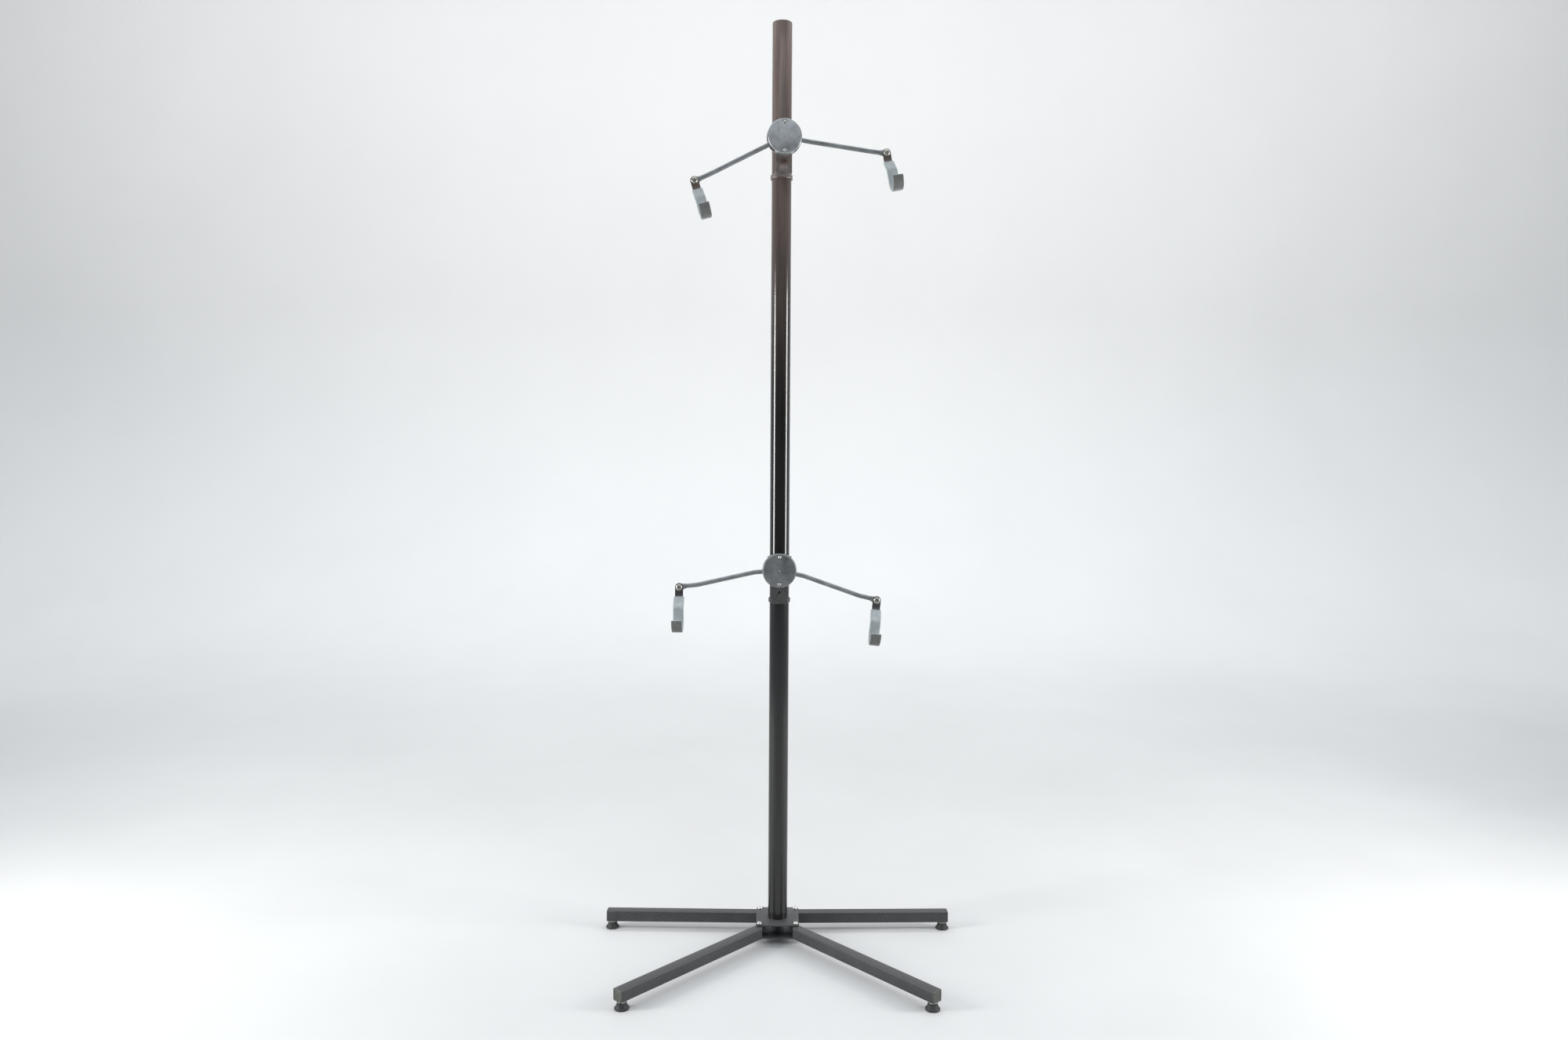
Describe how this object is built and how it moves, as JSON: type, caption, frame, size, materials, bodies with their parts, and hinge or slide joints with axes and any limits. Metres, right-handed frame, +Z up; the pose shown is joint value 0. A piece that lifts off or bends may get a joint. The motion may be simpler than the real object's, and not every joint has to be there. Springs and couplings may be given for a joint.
{
  "type": "bicycle storage stand",
  "caption": "Free-standing bicycle storage stand: a round pole on a splayed four-legged base, with height-adjustable cradles whose swinging arms end in vinyl-coated hooks.",
  "frame": {"origin": "middle of the footprint's bounding box, on the floor; the pole's axis stands 135.6 mm behind it", "axes": "+Z up along the pole, -Y to the front where the hooks reach out, +X to the right seen from the front"},
  "size_m": [0.7258, 0.3797, 1.863],
  "materials": {
    "pole_paint": "gloss",
    "base_paint": "satin",
    "cradle_paint": "satin",
    "cap_metal": "satin",
    "strap_paint": "satin",
    "grey_vinyl": "satin",
    "zinc": "bright",
    "black_plastic": "matte",
    "plug_plastic": "matte",
    "foot_rubber": "matte",
    "nylon": "matte"
  },
  "bodies": {
    "stand": {"pole": "pole_paint", "pole_top_cap": "black_plastic", "pole_foot_plug": "zinc", "centre_bolt": "zinc", "base_top_plate": "base_paint", "base_bottom_plate": "base_paint", "base_spacer": "base_paint", "base_bolts": "zinc", "base_nuts": "zinc"},
    "front_left_leg": {"front_left_leg": "base_paint", "front_left_leg_plug": "plug_plastic"},
    "front_left_foot": {"front_left_foot_stud": "zinc", "front_left_foot_pad": "foot_rubber"},
    "front_right_leg": {"front_right_leg": "base_paint", "front_right_leg_plug": "plug_plastic"},
    "front_right_foot": {"front_right_foot_stud": "zinc", "front_right_foot_pad": "foot_rubber"},
    "rear_left_leg": {"rear_left_leg": "base_paint", "rear_left_leg_plug": "plug_plastic"},
    "rear_left_foot": {"rear_left_foot_stud": "zinc", "rear_left_foot_pad": "foot_rubber"},
    "rear_right_leg": {"rear_right_leg": "base_paint", "rear_right_leg_plug": "plug_plastic"},
    "rear_right_foot": {"rear_right_foot_stud": "zinc", "rear_right_foot_pad": "foot_rubber"},
    "upper_bushes": {"upper_bushes": "nylon"},
    "upper_bracket": {"upper_bracket": "cradle_paint", "upper_hub_cap": "cap_metal", "upper_hub_screws": "zinc", "upper_hub_washers": "zinc", "upper_pivot_bolt": "zinc"},
    "upper_clamp_pad": {"upper_clamp_pad": "nylon"},
    "upper_clamp_knob": {"upper_clamp_screw": "zinc", "upper_clamp_knob": "black_plastic"},
    "lower_bushes": {"lower_bushes": "nylon"},
    "lower_bracket": {"lower_bracket": "cradle_paint", "lower_hub_cap": "cap_metal", "lower_hub_screws": "zinc", "lower_hub_washers": "zinc", "lower_pivot_bolt": "zinc"},
    "lower_clamp_pad": {"lower_clamp_pad": "nylon"},
    "lower_clamp_knob": {"lower_clamp_screw": "zinc", "lower_clamp_knob": "black_plastic"},
    "upper_left_arm": {"upper_left_arm": "cradle_paint", "upper_left_hook_bolt": "zinc"},
    "upper_left_hook": {"upper_left_strap": "strap_paint", "upper_left_sleeve": "grey_vinyl"},
    "upper_right_arm": {"upper_right_arm": "cradle_paint", "upper_right_hook_bolt": "zinc"},
    "upper_right_hook": {"upper_right_strap": "strap_paint", "upper_right_sleeve": "grey_vinyl"},
    "lower_left_arm": {"lower_left_arm": "cradle_paint", "lower_left_hook_bolt": "zinc"},
    "lower_left_hook": {"lower_left_strap": "strap_paint", "lower_left_sleeve": "grey_vinyl"},
    "lower_right_arm": {"lower_right_arm": "cradle_paint", "lower_right_hook_bolt": "zinc"},
    "lower_right_hook": {"lower_right_strap": "strap_paint", "lower_right_sleeve": "grey_vinyl"}
  },
  "joints": [
    {"name": "front_left_leg_swing", "type": "hinge", "parent": "stand", "child": "front_left_leg", "pos_m": [-0.037, 0.09709, 0.0384], "axis": [0, 0, -1], "range_deg": [-42, 15]},
    {"name": "front_left_foot_level", "type": "slide", "parent": "front_left_leg", "child": "front_left_foot", "axis": [0, 0, -1], "range_m": [0, 0.01]},
    {"name": "front_right_leg_swing", "type": "hinge", "parent": "stand", "child": "front_right_leg", "pos_m": [0.037, 0.09709, 0.0384], "axis": [0, 0, 1], "range_deg": [-42, 15]},
    {"name": "front_right_foot_level", "type": "slide", "parent": "front_right_leg", "child": "front_right_foot", "axis": [0, 0, -1], "range_m": [0, 0.01]},
    {"name": "rear_left_leg_swing", "type": "hinge", "parent": "stand", "child": "rear_left_leg", "pos_m": [-0.037, 0.17409, 0.0384], "axis": [0, 0, -1], "range_deg": [-10, 88]},
    {"name": "rear_left_foot_level", "type": "slide", "parent": "rear_left_leg", "child": "rear_left_foot", "axis": [0, 0, -1], "range_m": [0, 0.01]},
    {"name": "rear_right_leg_swing", "type": "hinge", "parent": "stand", "child": "rear_right_leg", "pos_m": [0.037, 0.17409, 0.0384], "axis": [0, 0, 1], "range_deg": [-10, 88]},
    {"name": "rear_right_foot_level", "type": "slide", "parent": "rear_right_leg", "child": "rear_right_foot", "axis": [0, 0, -1], "range_m": [0, 0.01]},
    {"name": "upper_cradle_height", "type": "slide", "parent": "stand", "child": "upper_bushes", "axis": [0, 0, 1], "range_m": [-0.25, 0.2]},
    {"name": "upper_cradle_swivel", "type": "hinge", "parent": "upper_bushes", "child": "upper_bracket", "pos_m": [0, 0.13559, 1.6225], "axis": [0, 0, 1], "continuous": true},
    {"name": "upper_pad_travel", "type": "slide", "parent": "upper_bracket", "child": "upper_clamp_pad", "axis": [-0.0924, 0.9957, 0], "range_m": [0, 0.0025]},
    {"name": "upper_knob_turn", "type": "hinge", "parent": "upper_clamp_pad", "child": "upper_clamp_knob", "pos_m": [-0.00319, 0.16995, 1.6315], "axis": [-0.0924, 0.9957, 0], "range_deg": [0, 720]},
    {"name": "lower_cradle_height", "type": "slide", "parent": "stand", "child": "lower_bushes", "axis": [0, 0, 1], "range_m": [-0.45, 0.25]},
    {"name": "lower_cradle_swivel", "type": "hinge", "parent": "lower_bushes", "child": "lower_bracket", "pos_m": [0, 0.13559, 0.769], "axis": [0, 0, 1], "continuous": true},
    {"name": "lower_pad_travel", "type": "slide", "parent": "lower_bracket", "child": "lower_clamp_pad", "axis": [0, 1, 0], "range_m": [0, 0.0025]},
    {"name": "lower_knob_turn", "type": "hinge", "parent": "lower_clamp_pad", "child": "lower_clamp_knob", "pos_m": [0, 0.17009, 0.778], "axis": [0, 1, 0], "range_deg": [0, 720]},
    {"name": "upper_left_arm_swing", "type": "hinge", "parent": "upper_bracket", "child": "upper_left_arm", "pos_m": [0.00526, 0.07884, 1.6225], "axis": [-0.0924, 0.9957, 0], "range_deg": [-17.5, 42.5]},
    {"name": "upper_left_hook_turn", "type": "hinge", "parent": "upper_left_arm", "child": "upper_left_hook", "pos_m": [-0.16836, 0.03813, 1.52659], "axis": [-0.0924, 0.9957, 0], "range_deg": [-40, 40]},
    {"name": "upper_right_arm_swing", "type": "hinge", "parent": "upper_bracket", "child": "upper_right_arm", "pos_m": [0.00526, 0.07884, 1.6225], "axis": [0.0924, -0.9957, 0], "range_deg": [-36.1, 23.9]},
    {"name": "upper_right_hook_turn", "type": "hinge", "parent": "upper_right_arm", "child": "upper_right_hook", "pos_m": [0.20526, 0.07279, 1.5914], "axis": [0.0924, -0.9957, 0], "range_deg": [-40, 40]},
    {"name": "lower_left_arm_swing", "type": "hinge", "parent": "lower_bracket", "child": "lower_left_arm", "pos_m": [0, 0.07859, 0.769], "axis": [0, 1, 0], "range_deg": [-41, 19]},
    {"name": "lower_left_hook_turn", "type": "hinge", "parent": "lower_left_arm", "child": "lower_left_hook", "pos_m": [-0.19853, 0.05409, 0.73756], "axis": [0, 1, 0], "range_deg": [-40, 40]},
    {"name": "lower_right_arm_swing", "type": "hinge", "parent": "lower_bracket", "child": "lower_right_arm", "pos_m": [0, 0.07859, 0.769], "axis": [0, -1, 0], "range_deg": [-32.9, 27.1]},
    {"name": "lower_right_hook_turn", "type": "hinge", "parent": "lower_right_arm", "child": "lower_right_hook", "pos_m": [0.19312, 0.05409, 0.71326], "axis": [0, -1, 0], "range_deg": [-40, 40]}
  ],
  "couplings": [
    {"joint": "upper_knob_turn", "follows": "upper_pad_travel", "rad_per_m": 5026},
    {"joint": "lower_knob_turn", "follows": "lower_pad_travel", "rad_per_m": 5026}
  ]
}
